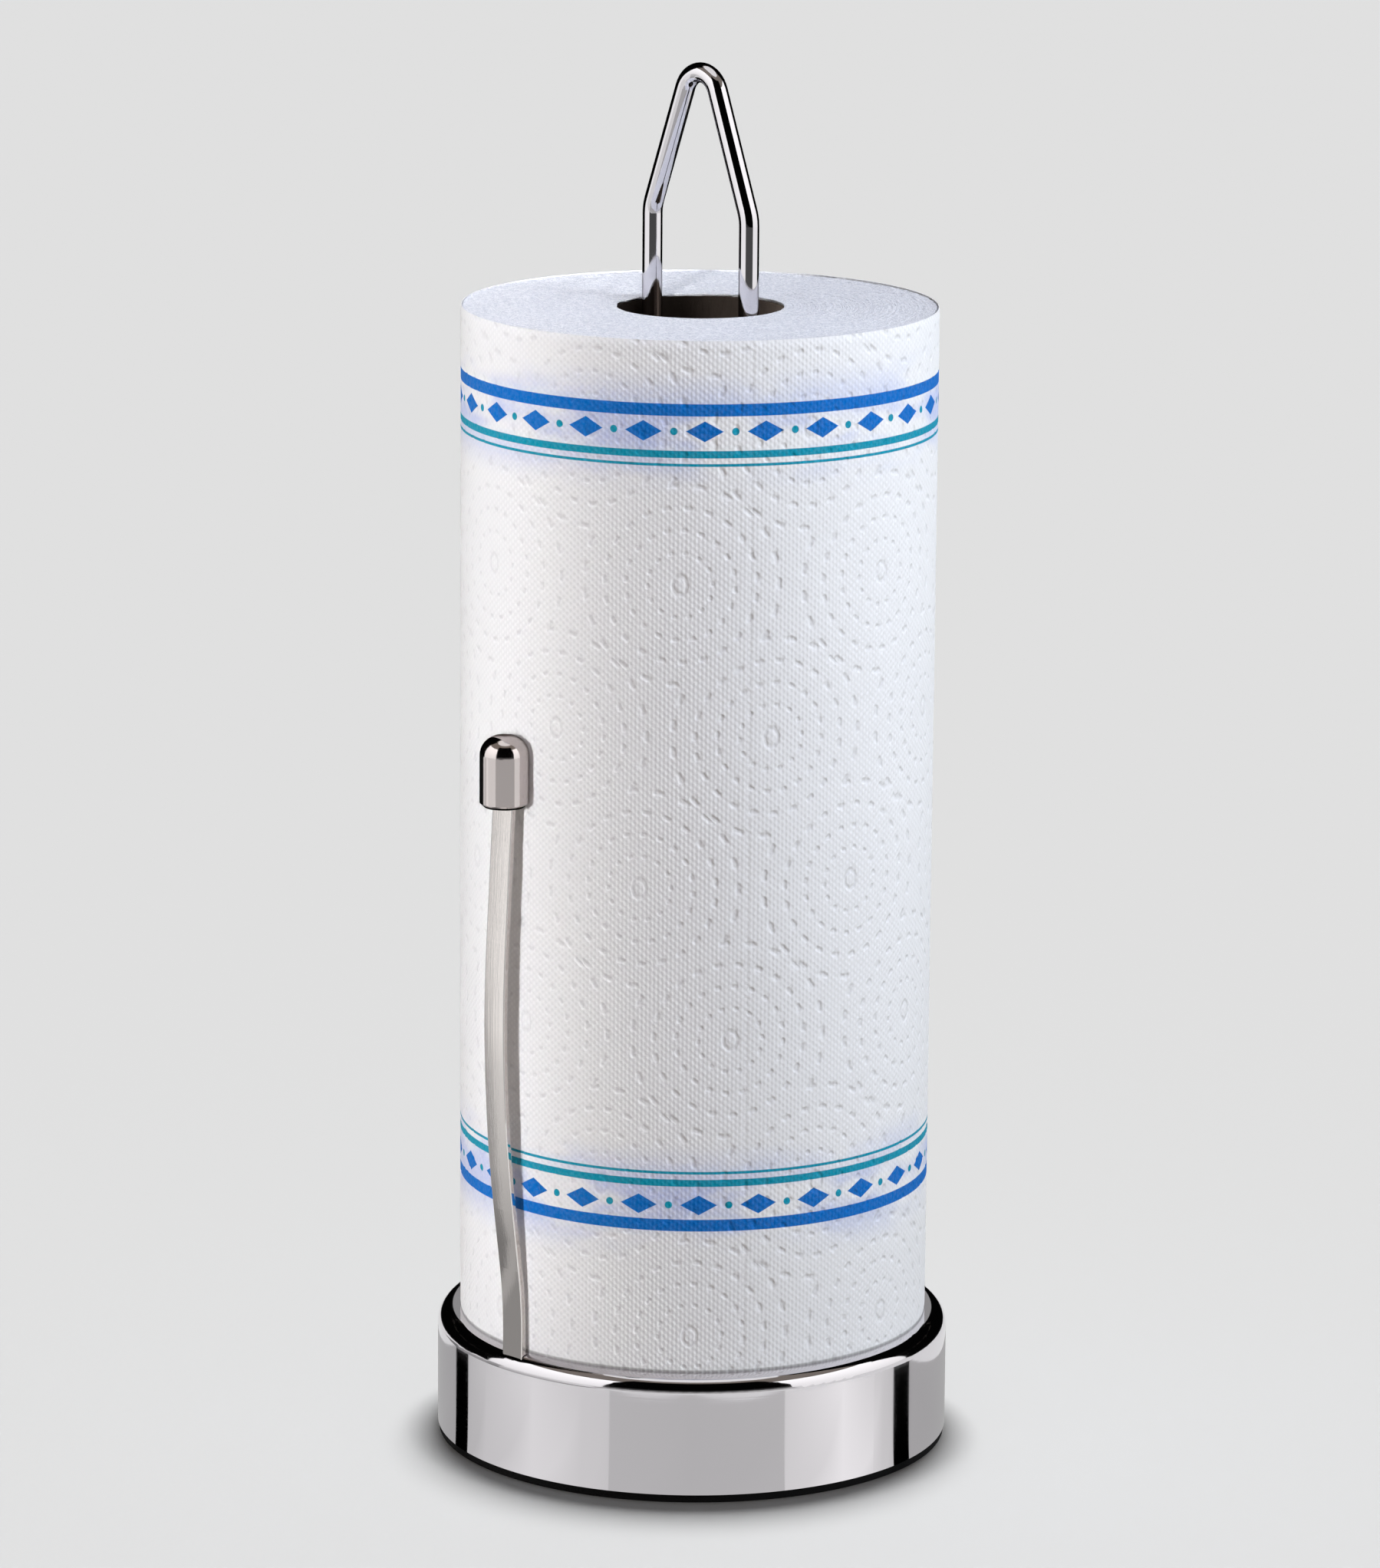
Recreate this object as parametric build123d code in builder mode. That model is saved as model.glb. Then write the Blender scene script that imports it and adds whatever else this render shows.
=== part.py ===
"""Free-standing paper towel holder with a wire post, a weighted base and a sprung tension arm.

Millimetres, +Z up. The origin is the centre of the underside, the arm stands on the -Y side
and the carrying loop lies in the XZ plane.
"""

import os
from math import asin, atan2, ceil, cos, hypot, pi, radians, sin, sqrt, tan

from build123d import *

# Paper roll
roll_diameter = 119.2
roll_height = 258.0
tail_step = 0.4
tail_angle = 110.0
core_inner_diameter = 41.0
core_wall = 1.2
core_glue_gap = 0.05
core_recess = 0.8

# Base shell and its closing pieces
shell_height = 30.0
shell_wall = 0.8
shoulder_radius = 4.0
rim_width = 1.125
pad_thickness = 2.0
pad_inset = 0.4
plate_thickness = 2.5
plate_gap = 0.3

# Wire post
wire_diameter = 5.0
leg_play = 1.0
leg_rise = 23.0
loop_rise = 37.0
loop_bend_radius = 6.0
knee_bend_radius = 10.0
collar_diameter = 6.6
collar_height = 1.2
leg_gap = 0.1
nut_across_flats = 8.0
nut_height = 4.0
washer_diameter = 10.0
washer_thickness = 1.0
thread_tail = 1.5

# Ballast and plate screws
ballast_thickness = 9.0
ballast_gap = 1.0
boss_diameter = 9.0
boss_inset = 11.0
boss_count = 3
boss_turn = 90.0
screw_diameter = 4.0
screw_head_diameter = 7.5
screw_head_height = 1.8
screw_grip = 9.0
screw_gap = 0.05
screw_hole_end = 1.5

# Tension arm
strip_width = 7.0
strip_thickness = 1.5
strip_edge_radius = 0.3
strip_paper_gap = 1.95
foot_straight = 14.0
arm_bow = 7.9
bow_height = 72.0
arm_height = 140.5
foot_bend_radius = 120.0
bow_bend_radius = 350.0
neck_bend_radius = 30.0
heel_length = 10.0
heel_width = 12.0
heel_depth = 5.5
arm_swing = 6.0
slot_gap = 0.3

# Arm tip cap
cap_diameter = 12.2
cap_height = 17.8
cap_dome_radius = 5.0
cap_edge = 1.0
cap_paper_gap = 0.3
cap_seat_depth = 10.0
cap_seat_gap = 0.05

# Arm hinge
pin_diameter = 3.0
pin_fit = 0.05
pin_head_diameter = 5.0
pin_head_height = 1.0
pin_tail = 1.6
clip_thickness = 0.6
clip_diameter = 6.0
clip_gap = 0.1
groove_depth = 0.4
barrel_diameter = 6.4
barrel_gap = 0.4
flange_thickness = 1.2
flange_reach = 7.5
ear_thickness = 1.2
ear_radius = 3.0
bend_radius = 1.0

# Torsion springs
spring_wire = 1.0
spring_bore_gap = 0.45
spring_leg_gap = 0.05
spring_side_gap = 0.4
spring_pitch = 1.5
spring_turns = 2.25
spring_leg_length = 6.5

# Radii
roll_radius = roll_diameter / 2
core_inner_radius = core_inner_diameter / 2
core_outer_radius = core_inner_radius + core_wall
pin_radius = pin_diameter / 2
coil_radius = pin_radius + spring_bore_gap + spring_wire / 2

# Heights
shell_bottom = pad_thickness
seat = shell_bottom + shell_height
shell_underside = seat - shell_wall
plate_top = shell_bottom + plate_thickness
ballast_underside = shell_underside - ballast_thickness
washer_underside = ballast_underside - washer_thickness
nut_underside = washer_underside - nut_height
leg_end = nut_underside - thread_tail
roll_top = seat + roll_height
knee_height = roll_top + leg_rise
loop_top = knee_height + loop_rise
cap_bottom = seat + arm_height
flange_underside = shell_underside - flange_thickness
pivot_height = flange_underside - spring_leg_gap - coil_radius - spring_wire / 2
heel_bottom = pivot_height - heel_length

# Reaches measured out from the roll's axis
strip_inner = roll_radius + strip_paper_gap
strip_middle = strip_inner + strip_thickness / 2
strip_outer = strip_inner + strip_thickness
pivot_reach = strip_inner - coil_radius - spring_wire / 2 - spring_leg_gap
cap_reach = roll_radius + cap_paper_gap + cap_diameter / 2
slot_inner = strip_inner - slot_gap
slot_travel = (seat - pivot_height) * tan(radians(arm_swing))
slot_outer = strip_outer + slot_travel + slot_gap
base_radius = slot_outer + rim_width
shell_inner_radius = base_radius - shell_wall
flange_inner = pivot_reach - flange_reach
flange_outer = pivot_reach - barrel_diameter / 2 - barrel_gap
ballast_radius = flange_inner - ballast_gap
boss_circle = ballast_radius - boss_inset

# Places along X
leg_reach = core_inner_radius - leg_play - wire_diameter / 2
coil_start = strip_width / 2 + spring_side_gap + spring_wire / 2
coil_length = spring_turns * spring_pitch
coil_end = coil_start + coil_length
leg_lean = spring_leg_length * spring_pitch / (2 * pi * coil_radius)
ear_inner = coil_end + leg_lean + spring_wire / 2 + spring_side_gap
ear_outer = ear_inner + ear_thickness

leg_places = [(-leg_reach, 0), (leg_reach, 0)]
boss_places = PolarLocations(boss_circle, boss_count, start_angle=boss_turn)


# Base shell: drawn drum with a round shoulder, leg holes and the arm's slot
with BuildPart() as base_shell:
    with BuildSketch(Plane.XY.offset(shell_bottom)):
        Circle(base_radius)
    extrude(amount=shell_height)
    fillet(edges().group_by(Axis.Z)[-1], radius=shoulder_radius)
    offset(amount=-shell_wall, openings=faces().sort_by(Axis.Z)[0])
    with BuildSketch(Plane.XY.offset(seat)):
        with Locations(*leg_places):
            Circle(wire_diameter / 2 + leg_gap)
    extrude(amount=-2 * shell_wall, mode=Mode.SUBTRACT)
    with BuildSketch(Plane.XY.offset(seat)):
        with Locations((0, -(slot_inner + slot_outer) / 2)):
            Rectangle(strip_width + 2 * slot_gap, slot_outer - slot_inner)
    extrude(amount=-shoulder_radius, mode=Mode.SUBTRACT)

# Foot pad: non-slip disc, the face that the holder stands on
with BuildPart() as foot_pad:
    with BuildSketch():
        Circle(base_radius - pad_inset)
    extrude(amount=pad_thickness)

# Bottom plate: closes the shell, with countersunk screw holes
with BuildPart() as bottom_plate:
    with BuildSketch(Plane.XY.offset(shell_bottom)):
        Circle(shell_inner_radius - plate_gap)
    extrude(amount=plate_thickness)
    with BuildSketch(Plane.XY.offset(shell_bottom)):
        with boss_places:
            Circle(screw_head_diameter / 2 + screw_gap)
    extrude(amount=screw_head_height, mode=Mode.SUBTRACT)
    with BuildSketch(Plane.XY.offset(shell_bottom)):
        with boss_places:
            Circle(screw_diameter / 2 + screw_gap)
    extrude(amount=plate_thickness, mode=Mode.SUBTRACT)

# Plate screws: flush heads under the plate, shanks in the ballast's bosses
with BuildPart() as plate_screws:
    with BuildSketch(Plane.XY.offset(shell_bottom)):
        with boss_places:
            Circle(screw_head_diameter / 2)
    extrude(amount=screw_head_height)
    with BuildSketch(Plane.XY.offset(shell_bottom)):
        with boss_places:
            Circle(screw_diameter / 2)
    extrude(amount=plate_thickness + screw_grip)

# Ballast: cast disc under the shell's top with bosses down to the plate
with BuildPart() as ballast_weight:
    with BuildSketch(Plane.XY.offset(ballast_underside)):
        Circle(ballast_radius)
        with Locations(*leg_places):
            Circle(wire_diameter / 2 + leg_gap, mode=Mode.SUBTRACT)
    extrude(amount=ballast_thickness)
    with BuildSketch(Plane.XY.offset(plate_top)):
        with boss_places:
            Circle(boss_diameter / 2)
    extrude(amount=ballast_underside - plate_top)
    with BuildSketch(Plane.XY.offset(plate_top)):
        with boss_places:
            Circle(screw_diameter / 2 + screw_gap)
    extrude(amount=screw_grip + screw_hole_end, mode=Mode.SUBTRACT)

# Wire post: two legs, two knees and a pointed loop, with a stop collar on each leg
bend_centre = loop_top - wire_diameter / 2 - loop_bend_radius
knee_to_bend = hypot(leg_reach, bend_centre - knee_height)
side_lean = atan2(leg_reach, bend_centre - knee_height) - asin(loop_bend_radius / knee_to_bend)
loop_corner = bend_centre + loop_bend_radius / sin(side_lean)

with BuildPart() as post_loop:
    with BuildLine(Plane.XZ) as post_path:
        FilletPolyline(
            (-leg_reach, leg_end),
            (-leg_reach, knee_height),
            (0, loop_corner),
            (leg_reach, knee_height),
            (leg_reach, leg_end),
            radius=[knee_bend_radius, loop_bend_radius, knee_bend_radius],
        )
    with BuildSketch(Plane(origin=(-leg_reach, 0, leg_end), z_dir=(0, 0, 1))):
        Circle(wire_diameter / 2)
    sweep()
    with BuildSketch(Plane.XY.offset(seat)):
        with Locations(*leg_places):
            Circle(collar_diameter / 2)
    extrude(amount=collar_height)

# Washers and nuts under the ballast
with BuildPart() as post_washers:
    with BuildSketch(Plane.XY.offset(washer_underside)):
        with Locations(*leg_places):
            Circle(washer_diameter / 2)
            Circle(wire_diameter / 2 + leg_gap, mode=Mode.SUBTRACT)
    extrude(amount=washer_thickness)

with BuildPart() as post_nuts:
    with BuildSketch(Plane.XY.offset(nut_underside)):
        with Locations(*leg_places):
            RegularPolygon(nut_across_flats / 2, 6, major_radius=False)
            Circle(wire_diameter / 2 + leg_gap, mode=Mode.SUBTRACT)
    extrude(amount=nut_height)

# Arm bracket: flange under the shell's top with an ear on each side of the springs
with BuildPart() as arm_bracket:
    with BuildSketch(Plane.XY.offset(flange_underside)):
        with Locations((0, -(flange_inner + flange_outer) / 2)):
            Rectangle(2 * ear_outer, flange_outer - flange_inner)
    extrude(amount=flange_thickness)
    bends = edges().filter_by(Axis.Y).group_by(Axis.Z)[-1]
    fillet(bends, radius=bend_radius)
    for ear_place in (-ear_outer, ear_inner):
        with BuildSketch(Plane.YZ.offset(ear_place)):
            with Locations((-pivot_reach, pivot_height)):
                Circle(ear_radius)
            with BuildLine():
                Line((-flange_outer, flange_underside), (-flange_inner, flange_underside))
            make_hull()
        extrude(amount=ear_thickness)
    with BuildSketch(Plane.YZ.offset(-ear_outer)):
        with Locations((-pivot_reach, pivot_height)):
            Circle(pin_radius + pin_fit)
    extrude(amount=2 * ear_outer, mode=Mode.SUBTRACT)

# Hinge pin: headed at one end, grooved for the clip at the other
groove_start = ear_outer + clip_gap
groove_width = clip_thickness + 2 * clip_gap
pin_end = groove_start + groove_width + pin_tail

with BuildPart() as arm_pivot_pin:
    with BuildSketch(Plane.YZ.offset(-ear_outer - pin_head_height)):
        with Locations((-pivot_reach, pivot_height)):
            Circle(pin_head_diameter / 2)
    extrude(amount=pin_head_height)
    with BuildSketch(Plane.YZ.offset(-ear_outer)):
        with Locations((-pivot_reach, pivot_height)):
            Circle(pin_radius)
    extrude(amount=ear_outer + pin_end)
    with BuildSketch(Plane.YZ.offset(groove_start)):
        with Locations((-pivot_reach, pivot_height)):
            Circle(pin_radius)
            Circle(pin_radius - groove_depth, mode=Mode.SUBTRACT)
    extrude(amount=groove_width, mode=Mode.SUBTRACT)

# Clip: open ring in the pin's groove
clip_bore = pin_radius - groove_depth + clip_gap

with BuildPart() as pin_clip:
    with BuildSketch(Plane.YZ.offset(groove_start + clip_gap)):
        with Locations((-pivot_reach, pivot_height)):
            Circle(clip_diameter / 2)
            Circle(clip_bore, mode=Mode.SUBTRACT)
        with Locations((-pivot_reach, pivot_height - clip_diameter / 4)):
            Rectangle(2 * clip_bore, clip_diameter / 2, mode=Mode.SUBTRACT)
    extrude(amount=clip_thickness)

# Arm barrel: bush on the pin with a flat where the strip is welded on
with BuildPart() as arm_barrel:
    with BuildSketch(Plane.YZ.offset(-strip_width / 2)):
        with Locations((-pivot_reach, pivot_height)):
            Circle(barrel_diameter / 2)
            Circle(pin_radius + pin_fit, mode=Mode.SUBTRACT)
        with Locations((-strip_middle, pivot_height)):
            Rectangle(strip_thickness, barrel_diameter, mode=Mode.SUBTRACT)
    extrude(amount=strip_width)

# Tension arm: bowed strip with a wider heel below the pin
with BuildPart() as tension_arm:
    with BuildSketch(Plane.YZ):
        with BuildLine():
            FilletPolyline(
                (-strip_middle, heel_bottom),
                (-strip_middle, seat + foot_straight),
                (-strip_middle - arm_bow, seat + bow_height),
                (-cap_reach, cap_bottom),
                (-cap_reach, cap_bottom + cap_seat_depth),
                radius=[foot_bend_radius, bow_bend_radius, neck_bend_radius],
            )
        trace(line_width=strip_thickness)
    extrude(amount=strip_width / 2, both=True)
    fillet(faces().filter_by(Axis.X).edges(), radius=strip_edge_radius)
    with BuildSketch(Plane.XZ.offset(strip_inner)):
        with Locations((0, heel_bottom + heel_depth / 2)):
            Rectangle(heel_width, heel_depth)
    extrude(amount=strip_thickness)

# Arm tip cap: domed, with a blind seat for the strip's end
with BuildPart() as arm_tip_cap:
    with BuildSketch(Plane(origin=(0, -cap_reach, cap_bottom), z_dir=(0, 0, 1))):
        Circle(cap_diameter / 2)
    extrude(amount=cap_height)
    fillet(edges().group_by(Axis.Z)[-1], radius=cap_dome_radius)
    chamfer(edges().group_by(Axis.Z)[0], length=cap_edge)
    with BuildSketch(Plane(origin=(0, -cap_reach, cap_bottom), z_dir=(0, 0, 1))):
        Rectangle(strip_width + 2 * cap_seat_gap, strip_thickness + 2 * cap_seat_gap)
    extrude(amount=cap_seat_depth + cap_seat_gap, mode=Mode.SUBTRACT)

# Torsion springs: coil on the pin, one leg under the flange and one leg behind the heel
def coil_place(turn):
    """Point and direction on the coil's centre line, counted in turns from the flange leg."""
    angle = 2 * pi * turn
    point = Vector(
        spring_pitch * turn - coil_end,
        -pivot_reach - coil_radius * sin(angle),
        pivot_height + coil_radius * cos(angle),
    )
    way = Vector(spring_pitch / (2 * pi), -coil_radius * cos(angle), -coil_radius * sin(angle))
    return point, way.normalized()


half_turns = ceil(2 * spring_turns)
coil_places = [coil_place(spring_turns * step / half_turns) for step in range(half_turns + 1)]
(first_point, first_way), (last_point, last_way) = coil_places[0], coil_places[-1]
leg_tip = first_point - spring_leg_length * first_way

with BuildPart() as arm_springs:
    with BuildLine() as spring_path:
        Line(leg_tip, first_point)
        for (near, near_way), (far, far_way) in zip(coil_places, coil_places[1:]):
            span = far - near
            along = span.dot(near_way + far_way)
            bend = 2 * (1 - near_way.dot(far_way))
            reach = (sqrt(along**2 + bend * span.dot(span)) - along) / bend
            corner, next_corner = near + reach * near_way, far - reach * far_way
            joint = (corner + next_corner) / 2
            TangentArc(near, joint, tangent=near_way)
            TangentArc(joint, far, tangent=next_corner - corner)
        Line(last_point, last_point + spring_leg_length * last_way)
    with BuildSketch(Plane(origin=leg_tip, z_dir=first_way)):
        Circle(spring_wire / 2)
    sweep()
    mirror(about=Plane.YZ)

# Least gap between the spring's turns, measured on points half a turn or more apart
gap_steps = 240
gap_points = [spring_path.wire() @ (step / gap_steps) for step in range(gap_steps + 1)]
points_apart = ceil(gap_steps * pi * coil_radius / spring_path.wire().length)
turn_gap = min(
    (point - other).length - spring_wire
    for place, point in enumerate(gap_points)
    for other in gap_points[place + points_apart :]
)
print(f"least gap between spring turns {turn_gap:.2f} mm")

# Cardboard core and the paper wound on it
with BuildPart() as cardboard_core:
    with BuildSketch(Plane.XY.offset(seat)):
        Circle(core_outer_radius)
        Circle(core_inner_radius, mode=Mode.SUBTRACT)
    extrude(amount=roll_height - core_recess)


def tail_spiral(quarters):
    """Point on the outermost sheet, counted in quarter turns from its tail edge."""
    radius = roll_radius - tail_step * (1 - quarters / 4)
    angle = radians(tail_angle) + quarters * pi / 2
    return (radius * cos(angle), radius * sin(angle))


with BuildPart() as paper_roll:
    with BuildSketch(Plane.XY.offset(seat)):
        with BuildLine():
            for quarter in range(4):
                ThreePointArc(
                    tail_spiral(quarter), tail_spiral(quarter + 0.5), tail_spiral(quarter + 1)
                )
            Line(tail_spiral(4), tail_spiral(0))
        make_face()
        Circle(core_outer_radius + core_glue_gap, mode=Mode.SUBTRACT)
    extrude(amount=roll_height)

pieces = {
    "base_shell": base_shell,
    "foot_pad": foot_pad,
    "bottom_plate": bottom_plate,
    "plate_screws": plate_screws,
    "ballast_weight": ballast_weight,
    "post_loop": post_loop,
    "post_washers": post_washers,
    "post_nuts": post_nuts,
    "arm_bracket": arm_bracket,
    "arm_pivot_pin": arm_pivot_pin,
    "pin_clip": pin_clip,
    "arm_barrel": arm_barrel,
    "tension_arm": tension_arm,
    "arm_tip_cap": arm_tip_cap,
    "arm_springs": arm_springs,
    "cardboard_core": cardboard_core,
    "paper_roll": paper_roll,
}

os.makedirs("parts", exist_ok=True)
for name, piece in pieces.items():
    piece.part.label = name
    export_step(piece.part, f"parts/{name}.step")
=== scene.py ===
"""Looks of the free-standing paper towel holder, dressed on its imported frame. Metres, +Z up."""

from math import atan2, cos, hypot, pi, radians, sin

import bmesh
import bpy
import numpy as np
from mathutils import Matrix, Vector


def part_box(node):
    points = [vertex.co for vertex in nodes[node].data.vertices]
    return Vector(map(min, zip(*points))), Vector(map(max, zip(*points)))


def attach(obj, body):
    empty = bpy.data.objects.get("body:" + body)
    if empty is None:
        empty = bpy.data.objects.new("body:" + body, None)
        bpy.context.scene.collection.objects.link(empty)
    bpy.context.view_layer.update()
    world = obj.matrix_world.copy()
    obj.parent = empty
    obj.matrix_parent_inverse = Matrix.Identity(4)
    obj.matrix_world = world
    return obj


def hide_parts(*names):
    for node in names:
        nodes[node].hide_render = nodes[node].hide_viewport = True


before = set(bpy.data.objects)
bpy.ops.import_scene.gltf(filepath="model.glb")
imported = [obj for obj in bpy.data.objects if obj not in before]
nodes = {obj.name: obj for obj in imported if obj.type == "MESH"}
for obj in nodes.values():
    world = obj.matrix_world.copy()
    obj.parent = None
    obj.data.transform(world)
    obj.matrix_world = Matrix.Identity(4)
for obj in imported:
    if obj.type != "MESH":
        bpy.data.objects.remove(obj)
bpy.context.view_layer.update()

MM = 0.001

# Sizes read from the frame
roll_low, roll_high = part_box("paper_roll")
core_low, core_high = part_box("cardboard_core")
drum_low, drum_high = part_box("base_shell")
ROLL_RADIUS, TAIL = max(
    (hypot(v.co.x, v.co.y), atan2(v.co.y, v.co.x)) for v in nodes["paper_roll"].data.vertices
)
SEAT = roll_low.z
ROLL_HEIGHT = roll_high.z - roll_low.z
CORE_OUTER = (core_high.x - core_low.x) / 2
CORE_INNER = min(hypot(v.co.x, v.co.y) for v in nodes["cardboard_core"].data.vertices)
DRUM_RADIUS = (drum_high.x - drum_low.x) / 2
CAP_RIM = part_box("arm_tip_cap")[0].z

# Sheets on the outside of the roll, counted clockwise from the tail edge
TAIL_STEP = 0.4 * MM
SHEET_THICKNESS = 0.35 * MM
SHEET_LENGTH = 148.0 * MM
GRID_STEP = 0.72 * MM
RING_DEPTH = 0.22 * MM
DEEPEST_SHARE = 0.95
ROLLED_EDGE = 1.6 * MM
WELD_GAP = 0.002 * MM
FLAT_AREA = 1e-14

# Embossed rings of dashes, in millimetres along the sheet and up from the seat
RING_PITCH = 55.4
RING_ROW = 37.8
RING_LEAN = 22.9
RING_ALONG = -50.8
RING_UP = 198.3
RING_STEP = 5.5
RING_OFFSET = 2.5
RING_LAST = 27.0
RING_TWIST = 0.37
DASH_PITCH, DASH_PITCH_GROWTH = 3.3, 0.22
DASH_HALF, DASH_HALF_GROWTH = 0.12, 0.045
DASH_RADIUS, DASH_RADIUS_GROWTH = 0.42, 0.06
DASH_FLOOR = 0.12
DASH_EDGE = 0.3
EYE_RADIUS = 2.3
EYE_SQUEEZE = 1.35
EYE_EDGE = 0.95
EYE_DEPTH = 0.85

# Tear slits and the ties between them, in millimetres from their middle to where they begin and end to fade
TIE_PITCH = 3.2
TIE_FADE = (0.25, 0.5)
TIE_DEPTH = 0.25
SLIT_FADE = (0.12, 0.5)

# Woven tooth of the paper: waves per millimetre along the sheet and up
TOOTH_WAVES = ((0.98, 0.0), (0.5, 0.6), (-0.5, 0.6))

# Printed borders, in millimetres: the height of their middle, and which way is outwards
BORDERS = ((236.0, 1.0), (43.0, -1.0))
BLUE = (0.001, 0.15, 0.53)
TEAL = (0.003, 0.29, 0.42)
TINT = (0.40, 0.48, 0.80)
STRIPES = ((5.2, 1.5, BLUE), (-5.6, 0.9, TEAL), (-8.2, 0.35, TEAL))
STRIPE_BLUR = 0.12
MARK_PITCH = 15.0
MARK_BLUR = 0.25
LOZENGE_HALF = 2.4
LOZENGE_SLOPE = 0.55
DOT_RADIUS = 0.8
HAZE_FADE = (2.0, 17.0)
HAZE_SHARE = 0.75

# Share of a noise's values over which a surface goes from one roughness to the other
MOTTLE = (0.3, 0.7)

# Wound paper under the sheets
CORE_CLEARANCE = 0.06 * MM
SHEET_CLEARANCE = 0.08 * MM
LIP_OVERHANG = 0.35 * MM
LIP_DROP = 0.68 * MM
LIP_EDGE = 0.4 * MM
LIP_HOLLOW = 0.04 * MM
END_DROP = 0.25 * MM
END_SWELL = 0.25 * MM
END_SWAY = 0.08 * MM

# Spiral winding of the cardboard core
WINDING_PITCH = 95 * MM
GROOVE_HALF = 1.2 * MM
GROOVE_INSIDE = 0.35 * MM
GROOVE_OUTSIDE = -0.1 * MM
LAP_STEP = 0.25 * MM
LAP_SHARE = 0.05
CORE_RAGGED = 0.35
RAGGED_FROM = 0.98
OUTER_CLEARANCE = 0.02 * MM

# Camera of the photograph
VIEW_TURN = radians(45.35)
VIEW_DISTANCE, VIEW_HEIGHT = 1.7, 0.54685
FOCAL_PIXELS, FRAME_PIXELS = 9019.6, 2044
AIM_ASIDE, AIM_HEIGHT = -0.00154, 0.16809
CAMERA_ROLL = radians(0.441)

# Studio
WHITE = (1.0, 1.0, 1.0)
WARM = (1.0, 0.88, 0.78)
WORLD_STRENGTH = 0.2
FLOOR_HALF = 12
LIGHT_AIM = 0.17
DOME_RADIUS = 1.45
CARD_LIFT = 0.0002
FAN_LENGTH = 0.09

# Sockets of the mix node in its colour mode
MIX_SHARE, MIX_LOW, MIX_HIGH, MIX_RESULT = 0, 6, 7, 2
SHADER = "Principled BSDF"


class Fields:
    """Adds nodes to a shader or geometry tree, so that both hold the same pattern."""

    def __init__(self, tree):
        self.tree = tree

    def add(self, kind, **settings):
        node = self.tree.nodes.new(kind)
        for name, value in settings.items():
            setattr(node, name, value)
        return node

    def link(self, value, socket):
        if isinstance(value, bpy.types.NodeSocket):
            self.tree.links.new(value, socket)
        else:
            socket.default_value = value

    def fill(self, node, inputs):
        for name, value in inputs.items():
            self.link(value, node.inputs[name])

    def math(self, operation, *values):
        node = self.add("ShaderNodeMath", operation=operation)
        for value, socket in zip(values, node.inputs):
            self.link(value, socket)
        return node.outputs[0]

    def total(self, *values):
        result = values[0]
        for value in values[1:]:
            result = self.math("ADD", result, value)
        return result

    def times(self, *values):
        result = values[0]
        for value in values[1:]:
            result = self.math("MULTIPLY", result, value)
        return result

    def weighed(self, *pairs):
        """Sum of values, each times its weight."""
        return self.total(*[self.times(value, weight) for value, weight in pairs])

    def less(self, a, b):
        return self.math("SUBTRACT", a, b)

    def over(self, a, b):
        return self.math("DIVIDE", a, b)

    def size(self, value):
        return self.math("ABSOLUTE", value)

    def gap(self, a, b):
        return self.size(self.less(a, b))

    def span(self, a, b):
        """Distance whose two parts at right angles are given."""
        return self.math("SQRT", self.total(self.times(a, a), self.times(b, b)))

    def clamp(self, value, high):
        return self.math("MINIMUM", self.math("MAXIMUM", value, 0.0), high)

    def ramp(self, value, low, high, to_low=0.0, to_high=1.0):
        """Smooth step from one level to the other while the value goes from low to high."""
        node = self.add("ShaderNodeMapRange", interpolation_type="SMOOTHSTEP")
        self.fill(
            node,
            {"Value": value, "From Min": low, "From Max": high, "To Min": to_low, "To Max": to_high},
        )
        return node.outputs[0]

    def vector(self, x, y, z=0.0):
        node = self.add("ShaderNodeCombineXYZ")
        for value, socket in zip((x, y, z), node.inputs):
            self.link(value, socket)
        return node.outputs[0]

    def parts(self, vector):
        node = self.add("ShaderNodeSeparateXYZ")
        self.link(vector, node.inputs[0])
        return node.outputs

    def noise(self, vector, scale, detail=2.0, roughness=0.5):
        node = self.add("ShaderNodeTexNoise")
        self.fill(node, {"Vector": vector, "Scale": scale, "Detail": detail, "Roughness": roughness})
        return node.outputs[0]

    def wrapped(self, value, period):
        """Distance from the nearest multiple of the period."""
        half = period / 2
        return self.less(self.math("FLOORED_MODULO", self.math("ADD", value, half), period), half)


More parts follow.
